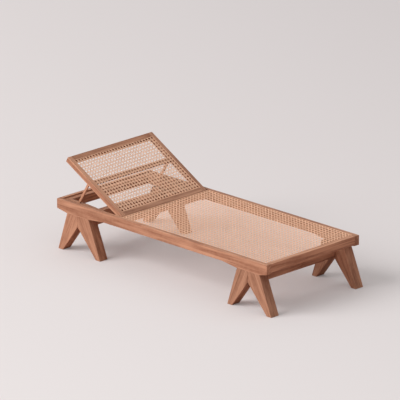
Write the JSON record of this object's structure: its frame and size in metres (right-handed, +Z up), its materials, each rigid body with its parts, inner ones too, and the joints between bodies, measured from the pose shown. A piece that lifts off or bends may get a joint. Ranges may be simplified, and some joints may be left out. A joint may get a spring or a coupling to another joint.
{
  "type": "chaise lounge",
  "caption": "Low wooden chaise lounge with V legs, a cane seat and a hinged cane back that folding props hold up or let down flat.",
  "frame": {"origin": "middle of the lounge's outer box, on the floor", "axes": "+X along the seat towards the foot end, +Y across it to the left of someone who sits on it facing the foot end, +Z up"},
  "size_m": [2.042, 0.886, 0.6575],
  "materials": {
    "teak": "satin oiled teak, warm brown with fine straight grain",
    "inner_teak": "satin oiled teak, darker",
    "cane": "satin natural cane, pale straw",
    "brass": "satin aged brass"
  },
  "bodies": {
    "base": {"side_rail_left": "teak", "side_rail_right": "teak", "head_rail": "teak", "foot_rail": "teak", "hinge_rail": "teak", "bearer_left": "teak", "bearer_right": "teak", "bearer_screws": "brass", "leg_head_left_aft": "teak", "leg_head_left_fore": "teak", "leg_head_right_aft": "teak", "leg_head_right_fore": "teak", "leg_foot_left_aft": "teak", "leg_foot_left_fore": "teak", "leg_foot_right_aft": "teak", "leg_foot_right_fore": "teak", "stretcher_head": "teak", "stretcher_foot": "teak", "leg_dowels": "inner_teak", "seat_cane": "cane", "seat_spline": "cane", "hinge_leaves_seat": "brass", "hinge_pins": "brass", "hinge_screws_seat": "brass"},
    "back": {"hinge_leaves_back": "brass", "hinge_screws_back": "brass", "back_stile_left": "teak", "back_stile_right": "teak", "back_top_rail": "teak", "back_bottom_rail": "teak", "back_middle_rail": "inner_teak", "back_cane": "cane", "back_spline": "cane", "prop_pins": "brass"},
    "prop": {"prop_left": "inner_teak", "prop_right": "inner_teak"}
  },
  "joints": [
    {"name": "back_hinge", "type": "hinge", "parent": "base", "child": "back", "pos_m": [-0.423, 0, 0.351], "axis": [0, 1, 0], "range_deg": [-25.5, 4]},
    {"name": "prop_pivot", "type": "hinge", "parent": "back", "child": "prop", "pos_m": [-0.75865, 0, 0.51717], "axis": [0, 1, 0], "range_deg": [-15, 91]}
  ],
  "couplings": [
    {"joint": "prop_pivot", "follows": "back_hinge", "ratio": -3.54}
  ]
}
